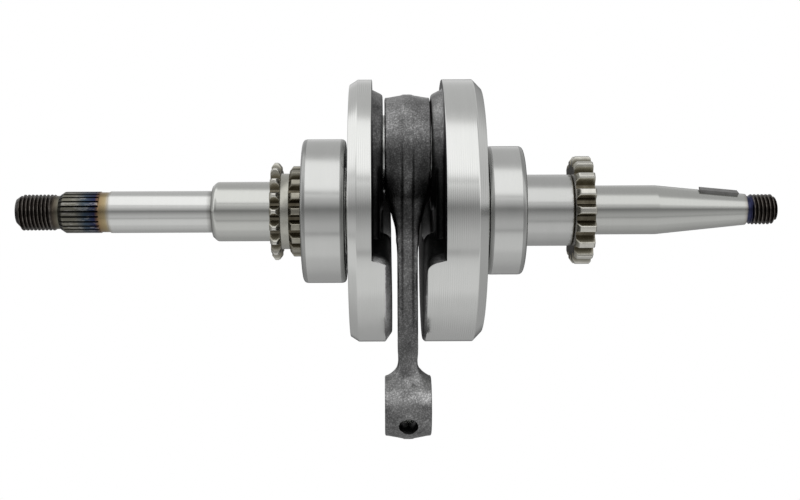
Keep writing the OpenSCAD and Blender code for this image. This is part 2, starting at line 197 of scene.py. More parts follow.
def capped_shell(rows):
    """Vertices and faces of a closed shell from rings of points, with a point at each end."""
    rows = np.asarray(rows, float)
    n, m, _ = rows.shape
    faces = grid_faces(n, m, False)
    first, last = n * m, n * m + 1
    faces += [(first, (j + 1) % m, j) for j in range(m)]
    faces += [(last, (n - 1) * m + j, (n - 1) * m + (j + 1) % m) for j in range(m)]
    return np.vstack([rows.reshape(-1, 3), rows[0].mean(0), rows[-1].mean(0)]), faces


def ring_shell(rows):
    """Vertices and faces of a ring: a grid that closes on itself both ways."""
    rows = np.asarray(rows, float)
    n, m, _ = rows.shape
    return rows.reshape(-1, 3), grid_faces(n, m, True)


def joined(*shells):
    """One vertex list, face list and slot list from shells of (vertices, faces, slots)."""
    vertices, faces, slots, offset = [], [], [], 0
    for v, f, s in shells:
        vertices.append(v)
        faces += [tuple(k + offset for k in face) for face in f]
        slots += list(s)
        offset += len(v)
    return np.vstack(vertices), faces, slots


def turn(points):
    """Points turned about X by the crank's rest angle."""
    points = np.asarray(points, float)
    c, s = math.cos(REST_TURN), math.sin(REST_TURN)
    turned = points.copy()
    turned[..., 1] = points[..., 1] * c - points[..., 2] * s
    turned[..., 2] = points[..., 1] * s + points[..., 2] * c
    return turned


def even_angles(columns):
    return np.arange(columns) * 2 * math.pi / columns


def lathe_rows(profile, angles, radius_at=None):
    """Rings of points for a turned shape about X. radius_at(x, r, angles) may shape the surface."""
    rows = []
    for x, r in profile:
        radii = r if radius_at is None else radius_at(x, r, angles)
        radii = np.broadcast_to(radii, angles.shape)
        rows.append(np.stack([np.full(len(angles), x), radii * np.sin(angles), radii * np.cos(angles)], 1))
    return np.array(rows)


def soften(profile, radius=0.25, steps=4, support=0.06):
    """A profile of (x, r, corner radius) with its corners rounded, and a support point beside each arc."""
    points = [np.array(p[:2], float) for p in profile]
    out = [points[0]]
    for i in range(1, len(points) - 1):
        here, before, after = points[i], points[i - 1], points[i + 1]
        wanted = profile[i][2] if len(profile[i]) > 2 else radius
        u, v = before - here, after - here
        lu, lv = np.linalg.norm(u), np.linalg.norm(v)
        if min(lu, lv) < 1e-6 or wanted == 0:
            out.append(here)
            continue
        u, v = u / lu, v / lv
        half = math.acos(max(-1.0, min(1.0, float(u @ v)))) / 2
        reach = min(wanted / max(math.tan(half), 0.05), 0.45 * lu, 0.45 * lv)
        start, end = here + u * reach, here + v * reach
        out.append(start + u * min(support, 0.08 * lu))
        for k in range(steps + 1):
            t = k / steps
            out.append((1 - t) ** 2 * start + 2 * t * (1 - t) * here + t * t * end)
        out.append(end + v * min(support, 0.08 * lv))
    out.append(points[-1])
    return np.array(out)


def fine_rows(profile, x0, x1, step):
    """Adds rings between two stations of a profile."""
    out = [profile[0]]
    for a, b in zip(profile[:-1], profile[1:]):
        inside = min(a[0], b[0]) >= x0 - 1e-6 and max(a[0], b[0]) <= x1 + 1e-6
        count = int(abs(b[0] - a[0]) / step) if inside else 0
        for k in range(1, count + 1):
            t = k / (count + 1)
            out.append(a * (1 - t) + b * t)
        out.append(b)
    return np.array(out)


def soft_min(a, b, k):
    h = np.clip(0.5 + 0.5 * (b - a) / k, 0, 1)
    return b * (1 - h) + a * h - k * h * (1 - h)


def soft_max(a, b, k):
    return -soft_min(-a, -b, k)


def stand_for(obj, body, node):
    """obj takes the place of a CAD node on a body."""
    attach(obj, body)
    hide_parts(node)
    return obj


# ---------------------------------------------------------------- shader nodes


class Nodes:
    """Short calls that add nodes to a tree."""

    def __init__(self, tree, coordinates):
        self.tree = tree
        self.place = tree.nodes.new("ShaderNodeTexCoord").outputs[coordinates]
        split = tree.nodes.new("ShaderNodeSeparateXYZ")
        tree.links.new(self.place, split.inputs[0])
        self.x, self.y, self.z = split.outputs

    def put(self, socket, value):
        """Links a socket to another one, or sets its value."""
        if isinstance(value, bpy.types.NodeSocket):
            self.tree.links.new(value, socket)
        else:
            socket.default_value = value

    def math(self, operation, *values, clamp=False):
        node = self.tree.nodes.new("ShaderNodeMath")
        node.operation = operation
        node.use_clamp = clamp
        for socket, value in zip(node.inputs, values):
            self.put(socket, value)
        return node.outputs[0]

    def ramp(self, factor, stops):
        """Colours or greys along a factor, from stops of (position, value)."""
        node = self.tree.nodes.new("ShaderNodeValToRGB")
        elements = node.color_ramp.elements
        while len(elements) < len(stops):
            elements.new(0.5)
        for element, (position, value) in zip(elements, stops):
            rgb = (value,) * 3 if isinstance(value, (int, float)) else value
            element.position = position
            element.color = (*rgb, 1.0)
        self.put(node.inputs[0], factor)
        return node.outputs[0]


class Shader(Nodes):
    """One steel's node tree."""

    def __init__(self, name):
        self.material = bpy.data.materials.new(name)
        self.material.use_nodes = True
        super().__init__(self.material.node_tree, "Object")
        self.bsdf = self.tree.nodes["Principled BSDF"]
        self.bsdf.inputs["Metallic"].default_value = 1.0

    def share(self, value, low, high):
        """Where a value lies between two others, from 0 to 1."""
        return self.math("DIVIDE", self.math("SUBTRACT", value, low), high - low, clamp=True)

    def from_axis(self):
        """Distance from the crank's axis."""
        y_squared = self.math("MULTIPLY", self.y, self.y)
        z_squared = self.math("MULTIPLY", self.z, self.z)
        return self.math("SQRT", self.math("ADD", y_squared, z_squared))

    def scaled(self, x, y, z):
        """Object coordinates multiplied per axis, for stretched patterns."""
        node = self.tree.nodes.new("ShaderNodeVectorMath")
        node.operation = "MULTIPLY"
        self.put(node.inputs[0], self.place)
        node.inputs[1].default_value = (x, y, z)
        return node.outputs[0]

    def noise(self, scale, detail=4.0, roughness=0.55, vector=None):
        node = self.tree.nodes.new("ShaderNodeTexNoise")
        self.put(node.inputs["Vector"], self.place if vector is None else vector)
        node.inputs["Scale"].default_value = scale
        node.inputs["Detail"].default_value = detail
        node.inputs["Roughness"].default_value = roughness
        return node.outputs["Fac"]

    def hairlines(self):
        """Very fine scratches round the X axis."""
        return self.noise(2400.0, 2.0, 0.6, self.scaled(1.0, 0.03, 0.03))

    def wander(self, value, reach):
        """A noise turned into a shift of up to half a reach in millimetres either way."""
        return self.math("MULTIPLY", self.math("SUBTRACT", value, 0.5), reach * MM)

    def along(self, axis, stops, shift):
        """Colours along an axis, from stops of (station in millimetres, value), moved by a shift."""
        low, high = stops[0][0], stops[-1][0]
        factor = self.share(self.math("ADD", axis, shift), low * MM, high * MM)
        return self.ramp(factor, [((x - low) / (high - low), value) for x, value in stops])

    def on_stretch(self, start, stop):
        """1 between two stations in millimetres along X, 0 elsewhere."""
        after = self.math("GREATER_THAN", self.x, start * MM)
        return self.math("MULTIPLY", after, self.math("LESS_THAN", self.x, stop * MM))

    def mix(self, factor, a, b, blend="MIX"):
        node = self.tree.nodes.new("ShaderNodeMix")
        node.data_type = "RGBA"
        node.blend_type = blend
        self.put(node.inputs[0], factor)
        for socket, value in ((node.inputs[6], a), (node.inputs[7], b)):
            if isinstance(value, (int, float)):
                value = (value,) * 3
            if isinstance(value, tuple):
                value = (*value, 1.0)
            self.put(socket, value)
        return node.outputs[2]

    def bump(self, height, distance, strength=1.0, below=None):
        node = self.tree.nodes.new("ShaderNodeBump")
        node.inputs["Strength"].default_value = strength
        node.inputs["Distance"].default_value = distance * MM
        self.put(node.inputs["Height"], height)
        if below is not None:
            self.put(node.inputs["Normal"], below)
        return node.outputs[0]

    def finish(self, color, roughness, normal):
        self.put(self.bsdf.inputs["Base Color"], color)
        self.put(self.bsdf.inputs["Roughness"], roughness)
        self.put(self.bsdf.inputs["Normal"], normal)
        return self.material


# ---------------------------------------------------------------- materials


def feed_lines(s, pitch):
    """A wave along X, one per tool pass, that wanders a little and fades in patches."""
    phase = s.math("MULTIPLY", s.x, 2 * math.pi / (pitch * MM))
    wander = s.math("MULTIPLY", s.noise(45.0, 2.0), 2.5)
    wave = s.math("SINE", s.math("ADD", phase, wander))
    patch = s.ramp(s.noise(55.0, 2.0), [(0.5, 0.05), (0.62, 1.0)])
    return s.math("MULTIPLY", wave, patch)


def turned_steel(name, tone, roughness, pitch=0.65, contrast=0.05, depth=0.0009):
    """Turned or ground steel: fine feed lines, hairlines and faint smears."""
    s = Shader(name)
    smear = s.noise(160.0, 5.0, 0.6, s.scaled(1.0, 0.4, 0.4))
    hair = s.hairlines()
    wave = feed_lines(s, pitch)
    dull = (tone * 0.955, tone * 0.965, tone * 0.94)
    base = s.ramp(smear, [(0.3, dull), (0.7, (tone, tone * 1.005, tone * 0.985))])
    shade = s.math("ADD", s.math("MULTIPLY", wave, contrast), s.math("MULTIPLY", hair, contrast))
    color = s.mix(1.0, base, s.math("SUBTRACT", 1.0 + contrast / 2, shade), "MULTIPLY")
    rough = s.ramp(smear, [(0.25, roughness * 0.85), (0.75, roughness * 1.35)])
    height = s.math("ADD", s.math("MULTIPLY", wave, 0.4), hair)
    return s.finish(color, rough, s.bump(height, depth))


def forged_steel(name, lit_and_shaded_tones, edge=None, depth=0.035):
    """Heat-treated forging: a grainy charcoal skin with bright scuffed grains. Its tone runs along Z and is
    painted light and shade, lighter or darker by height. edge is the tone of a lighter band at the rim below the
    crank's axis."""
    s = Shader(name)
    broad = s.noise(170.0, 4.0, 0.6)
    fine = s.noise(2100.0, 3.0, 0.7)
    shift = s.wander(broad, 6)
    # Painted light and shade: the tone changes with height along Z.
    tone = s.along(s.z, lit_and_shaded_tones, shift)
    if edge:
        low = s.share(s.math("ADD", s.z, shift), -10 * MM, -18 * MM)
        rim = s.share(s.from_axis(), (WEB_R - 3.2) * MM, (WEB_R - 1.4) * MM)
        tone = s.mix(s.math("MULTIPLY", low, rim), tone, edge)
    base = s.mix(1.0, tone, s.math("ADD", s.math("MULTIPLY", broad, 2.1), -0.05), "MULTIPLY")
    specks = s.math("ADD", s.math("MULTIPLY", s.ramp(fine, [(0.47, 0.0), (0.8, 1.0)]), 1.7), 0.8)
    color = s.mix(1.0, base, specks, "MULTIPLY")
    rough = s.ramp(fine, [(0.3, 0.44), (0.75, 0.28)])
    lumps = s.bump(broad, depth * 3, 0.5)
    return s.finish(color, rough, s.bump(fine, depth, 0.9, lumps))


def hardened_steel(name, root, tip, neck=None):
    """Olive-brown gunmetal teeth, painted near black in the gullets as painted shade and lighter towards the tips.
    neck is a plain turned stretch between two stations."""
    s = Shader(name)
    stain = s.noise(420.0, 5.0, 0.6)
    height = s.share(s.from_axis(), root * MM, tip * MM)
    reach = s.math("ADD", height, s.math("MULTIPLY", s.math("SUBTRACT", stain, 0.5), 0.45))
    # Colour by height on the tooth: near black at the root is painted shade in the gullets.
    color = s.ramp(reach, [
        (0.0, (0.10, 0.088, 0.062)), (0.3, (0.19, 0.175, 0.135)),
        (0.7, (0.36, 0.345, 0.29)), (1.0, (0.62, 0.61, 0.56)),
    ])
    if neck:
        turned = s.mix(stain, (0.36, 0.355, 0.31), (0.5, 0.495, 0.45))
        color = s.mix(s.on_stretch(*neck), color, turned)
    rough = s.ramp(stain, [(0.3, 0.32), (0.7, 0.18)])
    return s.finish(color, rough, s.bump(s.noise(1500.0, 3.0), 0.012))


def small_part_steel(name, tone, roughness):
    """Balls, rollers, cages, rivets and the key."""
    s = Shader(name)
    cloud = s.noise(400.0, 3.0)
    dull = (tone * 0.9, tone * 0.89, tone * 0.86)
    color = s.ramp(cloud, [(0.3, dull), (0.7, (tone, tone, tone * 0.98))])
    rough = s.ramp(cloud, [(0.3, roughness * 1.2), (0.7, roughness * 0.85)])
    return s.finish(color, rough, s.bump(s.noise(1800.0, 2.0), 0.003))


def tempered_steel(name, colors, roughness, crest, spline=None):
    """Shaft steel whose colour changes along X where its end was hardened and blackened.
    crest is (radius, start, stop) of the thread, whose crests are painted lighter in streaks, a painted highlight.
    spline is the same for the splined stretch, whose grooves are painted dark, a painted shade, and whose lands
    are scuffed."""
    s = Shader(name)
    shift = s.wander(s.noise(150.0, 4.0, 0.6), 1.2)
    color = s.along(s.x, colors, shift)
    rough = s.along(s.x, roughness, shift)
    scuff_and_highlight_noise = s.noise(700.0, 5.0, 0.7, s.scaled(0.35, 1.0, 1.0))
    radius = s.from_axis()
    crest_r, start, stop = crest
    # Painted highlight: streaks of lighter colour on the thread's crests.
    top = s.share(radius, (crest_r - 0.42) * MM, crest_r * MM)
    ridge = s.math("MULTIPLY", top, s.on_stretch(start, stop))
    painted_crest_highlight = s.math("MULTIPLY", ridge, s.ramp(scuff_and_highlight_noise, [(0.38, 0.3), (0.62, 1.0)]))
    color = s.mix(painted_crest_highlight, color, (0.17, 0.155, 0.14))
    if spline:
        land_r, start, stop = spline
        here = s.on_stretch(start, stop)
        scuffs = s.math("MULTIPLY", s.ramp(scuff_and_highlight_noise, [(0.52, 0.0), (0.7, 0.6)]), here)
        color = s.mix(scuffs, color, (0.5, 0.49, 0.47))
        # Painted shade: the spline's grooves are darkened towards their bottoms.
        depth = s.math("SUBTRACT", 1.0, s.share(radius, (land_r - 0.4) * MM, (land_r - 0.05) * MM))
        color = s.mix(s.math("MULTIPLY", depth, here), color, s.mix(1.0, color, 0.12, "MULTIPLY"))
    hair = s.hairlines()
    shade = s.math("SUBTRACT", 1.03, s.math("MULTIPLY", hair, 0.06))
    return s.finish(s.mix(1.0, color, shade, "MULTIPLY"), rough, s.bump(hair, 0.001))


BLACKED = (0.026, 0.021, 0.018)
OLIVE = (0.15, 0.145, 0.115)
TEAL = (0.045, 0.068, 0.095)
NAVY = (0.026, 0.029, 0.070)
BRONZE = (0.13, 0.075, 0.05)
STRAW = (0.36, 0.29, 0.165)
SEAT_TONE = (0.66, 0.665, 0.65)
SEAL_TONE = (0.56, 0.565, 0.54)
TAPER_TONE = (0.50, 0.505, 0.485)

rim_steel = turned_steel("turned_rim", 0.68, 0.13)
race_steel = turned_steel("bearing_ring", 0.60, 0.14, 0.4, 0.03)
collar_steel = turned_steel("collar", 0.53, 0.16, 0.4, 0.05)
pin_steel = turned_steel("pin", 0.6, 0.18, 0.4, 0.04)
# Darker steel for the bearing rings' rounded corners: painted shade in place of the dark reflections they catch.
painted_dark_corner_steel = turned_steel("painted_shade_corner", 0.36, 0.24, 0.4, 0.03)
# Painted light and shade along Z: near black from below the axis to above it, where the pockets lie in shade,
# lighter towards the top and on the lower counterweights. The drive web also gets a lighter band at its lower rim.
forged_drive_web = forged_steel("forged_drive_web", [
    (-44, 0.30), (-17.5, 0.30), (-14.5, 0.02), (3, 0.014), (10, 0.05), (15, 0.07), (25, 0.11),
    (40, 0.13),
], edge=0.75)
forged_magneto_web = forged_steel("forged_magneto_web", [
    (-44, 0.22), (-17.5, 0.22), (-14.5, 0.02), (3, 0.014), (10, 0.04), (15, 0.075), (25, 0.19),
    (40, 0.24),
])
# Painted light and shade along Z: dark on the lower big end between the webs, lighter on the crown and shank, with
# a painted highlight band across the small end.
forged_rod = forged_steel("forged_rod", [
    (-76, 0.15), (-66, 0.17), (-62.5, 0.25), (-60, 0.32), (-55, 0.28), (-50, 0.22), (-38, 0.19),
    (-30, 0.23), (-20, 0.27), (-12, 0.30), (-7, 0.19), (-3, 0.08), (3, 0.09), (10, 0.10), (15, 0.115),
    (20, 0.17), (28, 0.21), (40, 0.24),
])
# Near-black inside of the oil hole: painted shade.
painted_shade_hole_steel = forged_steel("oil_hole", [(-76, 0.015), (-50, 0.015)])
sprocket_steel = hardened_steel("sprocket_teeth", 12.6, 16.1, (NECK_X, TIMING_X))
pump_steel = hardened_steel("pump_gear_teeth", 14.4, 17.75)
ball_steel = small_part_steel("bearing_ball", 0.75, 0.08)
cage_steel = small_part_steel("pressed_cage", 0.4, 0.38)
key_steel = small_part_steel("key", 0.19, 0.34)
drive_shaft_steel = tempered_steel("drive_shaft", [
    (DRIVE_END, BLACKED), (SPLINE_X - 2.4, BLACKED), (SPLINE_X - 1.2, (0.10, 0.085, 0.065)),
    (SPLINE_X + 0.2, OLIVE), (SPLINE_X + 6.0, (0.16, 0.155, 0.13)), (SPLINE_X + 9.0, TEAL),
    (TINT_X - 1.0, NAVY), (TINT_X - 0.2, BRONZE), (TINT_X + 0.5, (0.27, 0.19, 0.10)),
    (SEAT_X - 0.9, STRAW), (SEAT_X - 0.1, (0.45, 0.42, 0.36)), (SEAT_X + 0.8, SEAT_TONE),
    # A dark band at the seal journal's shoulder: painted shade.
    (SEAL_X - 1.8, SEAT_TONE), (SEAL_X - 0.4, (0.36, 0.36, 0.345)), (SEAL_X + 0.1, (0.13, 0.13, 0.12)),
    (SEAL_X + 0.5, (0.5, 0.505, 0.48)), (SEAL_X + 1.2, SEAL_TONE), (SPROCKET_X, SEAL_TONE),
], [
    (DRIVE_END, 0.28), (SPLINE_X + 2, 0.28), (SEAT_X, 0.24), (SEAT_X + 1, 0.14), (SPROCKET_X, 0.15),
], (DRIVE_THREAD_R, DRIVE_END, THREAD_END_X), (SPLINE_R, SPLINE_X, TINT_X))
magneto_shaft_steel = tempered_steel("magneto_shaft", [
    (COLLAR[0][0], TAPER_TONE), (TAPER_END_X - 1.2, TAPER_TONE), (TAPER_END_X - 0.3, (0.4, 0.38, 0.35)),
    (TAPER_END_X + 0.1, (0.035, 0.04, 0.085)), (TAPER_END_X + 1.6, NAVY), (TAPER_END_X + 2.6, BLACKED),
    (MAGNETO_END, BLACKED),
], [
    (COLLAR[0][0], 0.14), (TAPER_END_X, 0.18), (TAPER_END_X + 1, 0.28), (MAGNETO_END, 0.28),
], (MAGNETO_THREAD_R, MAGNETO_THREAD_X, MAGNETO_END))


# ---------------------------------------------------------------- webs

BOSS_R = 18.0
PAD_R = 19.4
PAD_W = 26.9
PAD_FACE = 8.5
POCKET_R = 28.0
RIM_FACE = 11.2
DRAFT = 6.0

# Sizes along X are measured outwards from the centreline
DRIVE_WEB = {
    "side": -1, "out": 18.4, "chamfer_x": 2.7, "chamfer_r": 1.7, "weight_face": 4.9, "boss": 7.7,
    "edge_x": 7.2, "edge_slope": 0.7,
}
MAGNETO_WEB = {
    "side": 1, "out": 23.8, "chamfer_x": 2.9, "chamfer_r": 3.0, "weight_face": 4.8, "boss": 7.5,
    "edge_x": 5.6, "edge_slope": 1.0,
}


def raised(level, distance, rounding):
    """Height of a raised forged area: flat inside its outline, round at its edge and falling away
    outside."""
    return level + DRAFT * 0.5 * (np.sqrt(distance**2 + rounding**2) + distance)


def pad_distance(y, z):
    """Distance outside the pear-shaped pad that carries the crankpin's boss."""
    to_pin = np.hypot(y, z - THROW) - PAD_R
    lean = math.pi - math.atan2(THROW, PAD_W) - math.asin(PAD_R / math.hypot(PAD_W, THROW))
    side = (np.abs(y) - PAD_W) * math.sin(lean) - z * math.cos(lean)
    top = z - (THROW - PAD_R * math.cos(lean))
    return np.minimum(to_pin, np.maximum(side, top))


def inner_height(y, z, web):
    """Distance of a web's forged inner face from the centreline."""
    to_pin = np.hypot(y, z - THROW)
    floor = np.full_like(y, RIM_FACE)
    corner = 0.25 * np.maximum(np.abs(y) - 0.9 * WEB_R, 0)
    weight = raised(web["weight_face"], z + corner, 1.1)
    pad = raised(PAD_FACE, pad_distance(y, z) + 0.3, 0.5)
    face = soft_min(soft_min(floor, weight, 1.4), pad, 1.8)
    face = soft_max(face, 2 * PAD_FACE - raised(PAD_FACE, to_pin - POCKET_R, 0.5), 0.7)
    rim = web["edge_x"] - (WEB_R - np.hypot(y, z)) * web["edge_slope"]
    face = np.where(z < 6, soft_max(face, rim, 0.3), face)
    boss = raised(web["boss"], (to_pin - BOSS_R - 0.5) * 0.35, 0.12)
    return soft_min(face, boss, 0.5)


def web_shell(web, machined_slot, forged_slot, columns=1080):
    """One web as a closed shell: turned outside, shaped by inner_height inside."""
    angles = even_angles(columns)
    sin, cos = np.sin(angles), np.cos(angles)
    edge = inner_height(WEB_R * sin, WEB_R * cos, web)
    rim_x = web["out"] - web["chamfer_x"]
    rim_start, rim_stop = rim_x - 2.5, edge + 0.24
    outside = soften([
        (web["out"], 0.5, 0), (web["out"], WEB_R - web["chamfer_r"], 0.35), (rim_x, WEB_R, 0.5),
        (rim_start, WEB_R, 0),
    ])
    rows = [(x, r) for x, r in outside]
    rows += [(rim_start + (rim_stop - rim_start) * t, WEB_R) for t in (0.25, 0.5, 0.75, 0.93, 1.0)]
    rows += [(edge + lift, WEB_R - drop) for lift, drop in ((0.18, 0.0), (0.09, 0.03), (0.03, 0.1))]
    machined = (len(rows) - 1) * columns
    # Rings are closer together near the rim
    rim_radii = np.arange(WEB_R - 0.25, WEB_R - 6, -0.25)
    radii = np.concatenate([rim_radii, np.arange(WEB_R - 6, 0.5, -0.36)])
    rows += [(inner_height(r * sin, r * cos, web), r) for r in radii]
    forged = (len(rows) - 1) * columns - machined
    grid = np.stack([
        np.stack([CENTRE_X + web["side"] * np.broadcast_to(x, angles.shape), r * sin, r * cos], 1)
        for x, r in rows
    ])
    vertices, faces = capped_shell(grid)
    caps = [machined_slot] * columns + [forged_slot] * columns
    return turn(vertices), faces, [machined_slot] * machined + [forged_slot] * forged + caps


# ---------------------------------------------------------------- shafts

CENTRE_R = 0.7
CENTRE_MOUTH_R = 1.7
THREAD_DEPTH = 0.61 * THREAD_PITCH
GROOVE_DEPTH = 0.55
# Half width of a spline groove as a share of the pitch
GROOVE_SHARE = 0.18


def thread_cut(x, angles):
    """Depth of a right-hand V thread below its crest, from 0 to 1."""
    t = (x / THREAD_PITCH + angles / (2 * math.pi)) % 1.0
    return np.clip((np.abs(t - 0.5) * 2 - 0.14) / 0.68, 0, 1)


def threaded(x, r, angles, crest, fade):
    """Radius of a threaded stretch; fade lets the thread run out at its ends."""
    cut = THREAD_DEPTH * min(max(fade, 0.0), 1.0) * thread_cut(x, angles)
    return np.maximum(np.minimum(r, crest) - cut, min(r, CENTRE_R))


def spline_angles():
    """Columns gathered at the edges of the spline's grooves, with one groove facing the viewer."""
    half = np.array([0.0, 0.07, 0.12, 0.155, GROOVE_SHARE, 0.22, 0.34])
    pitch = np.concatenate([half, [0.5], 1 - half[:0:-1]])
    start = -math.pi / 2 + REST_TURN
    return start + (np.arange(SPLINE_N)[:, None] + pitch[None, :]).ravel() * 2 * math.pi / SPLINE_N


def spline_cut(angles):
    """Depth of the spline's round-bottomed grooves."""
    share = (angles - angles[0]) * SPLINE_N / (2 * math.pi)
    away = np.abs((share + 0.5) % 1.0 - 0.5)
    return GROOVE_DEPTH * np.sqrt(np.clip(1 - (away / GROOVE_SHARE) ** 2, 0, 1))


def drive_shaft_shell(slot):
    """The drive half's shaft, from its centre drilling to inside the web."""
    end = DRIVE_END
    web_out = CENTRE_X - DRIVE_WEB["out"]
    bearing_in = DRIVE_BEARING[1][0]
    profile = soften([
        (end + 3.9, 0.02, 0), (end + 3.4, CENTRE_R), (end + 1.6, CENTRE_R), (end, CENTRE_MOUTH_R),
        (end, DRIVE_THREAD_R - 1.5, 0.5), (end + 1.9, DRIVE_THREAD_R, 0.6),
        (THREAD_END_X, DRIVE_THREAD_R, 0.1), (THREAD_END_X + 0.4, 5.45, 0.2),
        (SPLINE_X, 5.45, 0.3), (SPLINE_X + 0.15, 5.75, 0.1), (SPLINE_X + 1.7, SPLINE_R, 0.7),
        (TINT_X, SPLINE_R, 0.15), (TINT_X + 0.35, TINT_R, 0.2),
        (SEAT_X - 0.1, TINT_R, 0.1), (SEAT_X, SEAT_R, 0.1), (SEAL_X - 0.25, SEAT_R, 0.2),
        (SEAL_X - 0.1, SEAT_R - 0.12, 0.08), (SEAL_X, SEAT_R - 0.12, 0.05),
        (SEAL_X, SEAL_R - 1.3, 0.1), (SEAL_X + 1.4, SEAL_R, 1.6), (SPROCKET_X + 0.2, SEAL_R, 0.1),
        (SPROCKET_X + 0.3, JOURNAL_R, 0.05), (bearing_in, JOURNAL_R, 0.1), (bearing_in, HUB_R, 0.3),
        (web_out + 1, HUB_R, 0), (web_out + 1, 0.02, 0),
    ])
    profile = fine_rows(profile, end + 0.3, THREAD_END_X + 0.5, THREAD_PITCH / 10)

    def radius_at(x, r, angles):
        if x < THREAD_END_X + 0.5:
            return threaded(x, r, angles, DRIVE_THREAD_R, THREAD_END_X + 0.3 - x)
        if SPLINE_X - 0.01 <= x <= TINT_X + 0.25 and r > 5.6:
            fade = min(1.0, (x - SPLINE_X) / 0.6, (TINT_X + 0.25 - x) / 0.3)
            return r - spline_cut(angles) * max(fade, 0.0)
        return r

    vertices, faces = capped_shell(lathe_rows(profile, spline_angles(), radius_at))
    return turn(vertices), faces, [slot] * len(faces)


def magneto_shaft_shell(slot):
    """The magneto half's shaft, from inside the web to its centre drilling."""
    end = MAGNETO_END
    web_out = CENTRE_X + MAGNETO_WEB["out"]
    bearing_in = MAGNETO_BEARING[0][0]
    gear_out = PUMP_GEAR[1][0]
    profile = soften([
        (web_out - 1, 0.02, 0), (web_out - 1, HUB_R, 0), (bearing_in, HUB_R, 0.3),
        (bearing_in, JOURNAL_R, 0.1), (COLLAR[0][0], JOURNAL_R, 0.1), (COLLAR[0][0], GEAR_SEAT_R, 0.1),
        (gear_out - 0.4, GEAR_SEAT_R, 0.1), (gear_out - 0.2, MAGNETO_SEAT_R, 0.05),
        (TAPER_X, MAGNETO_SEAT_R, 3.0), (TAPER_END_X, TAPER_END_R, 0.18),
        (TAPER_END_X + 0.05, 4.4, 0.2), (TAPER_END_X + 1.2, 4.35, 0.2),
        (TAPER_END_X + 1.5, MAGNETO_THREAD_R, 0.1), (end - 1.4, MAGNETO_THREAD_R, 0.7),
        (end, MAGNETO_THREAD_R - 1.3, 0.5), (end, CENTRE_MOUTH_R), (end - 1.6, CENTRE_R),
        (end - 3.4, CENTRE_R), (end - 3.9, 0.02, 0),
    ])
    profile = fine_rows(profile, MAGNETO_THREAD_X, end - 0.2, THREAD_PITCH / 10)

    def radius_at(x, r, angles):
        if x > MAGNETO_THREAD_X:
            return threaded(x, r, angles, MAGNETO_THREAD_R, (x - MAGNETO_THREAD_X) / 0.5)
        return r

    vertices, faces = capped_shell(lathe_rows(profile, even_angles(240), radius_at))
    return turn(vertices), faces, [slot] * len(faces)


def disc_shell(centre, radius, width):
    """A closed disc about X."""
    half = width / 2
    rows = lathe_rows([(-half, 0.1), (-half, radius), (half, radius), (half, 0.1)], even_angles(160))
    vertices, faces = capped_shell(rows)
    return vertices + np.array(centre), faces, [0] * len(faces)


def crank_half(name, web, skin, shaft_shell, shaft_steel, node):
    """A web and its shaft as one object, with a shallow bore round the end of the crankpin."""
    vertices, faces, slots = web_shell(web, 0, 1)
    blank = mesh_object("blank", vertices, faces, [rim_steel, skin], slots)
    (pin_start, _, pin_low), (pin_stop, _, pin_high) = box("crank_pin")
    pin_end = pin_start if web["side"] < 0 else pin_stop
    bore_r = (pin_high - pin_low) / 2 + 0.12
    vertices, faces, slots = disc_shell((pin_end, PIN[1], PIN[2]), bore_r, 1.6)
    cut_away(blank, mesh_object("cutter", vertices, faces, [rim_steel], slots))
    vertices, faces, slots = joined(shell_of(blank.data), shaft_shell(2))
    bpy.data.objects.remove(blank)
    obj = mesh_object(name, vertices, faces, [rim_steel, skin, shaft_steel], slots, sharp=60)
    return stand_for(obj, "crank", node)


# ---------------------------------------------------------------- gears and rings

TOOTH_COLUMNS = 36


def tooth_rows(x0, x1, root, tip, root_share, tip_share, bevels, angles):
    """Outside of a toothed ring between two stations, as rows of (x, radii) with bevelled ends."""
    share = np.abs(angles * GEAR_N / (2 * math.pi) % 1.0 - 0.5) * 2
    rise = (root_share - share) / (root_share - tip_share)
    outline = root + (tip - root) * soft_max(soft_min(rise, 1.0, 0.3), 0.0, 0.35)
    inset = np.array([0, 0.12, 0.3, 0.55, 0.8, 1.0, 1.15])
    first = [(x0 + t * bevels[0], (1 - t) * bevels[0]) for t in inset]
    last = [(x1 - t * bevels[1], (1 - t) * bevels[1]) for t in inset[::-1]]
    return [(x, soft_min(outline, tip - 1.35 * max(drop, 0.0) + 0.05, 0.2)) for x, drop in first + last]


def gear_object(name, rows, angles, material, node):
    vertices, faces = ring_shell(lathe_rows(rows, angles))
    obj = mesh_object(name, turn(vertices), faces, [material], sharp=50)
    return stand_for(obj, "crank", node)


def timing_sprocket():
    """Chain sprocket, neck and timing gear in one piece."""
    angles = even_angles(GEAR_N * TOOTH_COLUMNS)
    low, high = SPROCKET_X, DRIVE_BEARING[0][0]
    sprocket_r = box("timing_sprocket")[1][1]
    neck_r = 12.37
    rows = [(low, JOURNAL_R), (low, 12.0)]
    rows += tooth_rows(low, NECK_X, 13.0, sprocket_r, 0.72, 0.2, (1.05, 1.05), angles)
    rows += [(NECK_X, neck_r + 0.23), (NECK_X + 0.1, neck_r + 0.08), (NECK_X + 0.3, neck_r)]
    rows += [(TIMING_X - 0.3, neck_r), (TIMING_X - 0.1, neck_r + 0.03)]
    rows += tooth_rows(TIMING_X, high, 12.5, 14.9, 0.7, 0.4, (1.2, 0.5), angles)
    rows += [(high, 12.0), (high, JOURNAL_R)]
    return gear_object("timing_sprocket_finished", rows, angles, sprocket_steel, "timing_sprocket")


def pump_gear():
    angles = even_angles(GEAR_N * TOOTH_COLUMNS)
    (low, _, _), (high, tip, _) = PUMP_GEAR
    rows = [(low, GEAR_SEAT_R), (low, 13.5)]
    rows += tooth_rows(low, high, 14.6, tip, 0.68, 0.32, (1.1, 0.5), angles)
    rows += [(high, 13.5), (high, GEAR_SEAT_R)]
    return gear_object("pump_gear_finished", rows, angles, pump_steel, "pump_drive_gear")


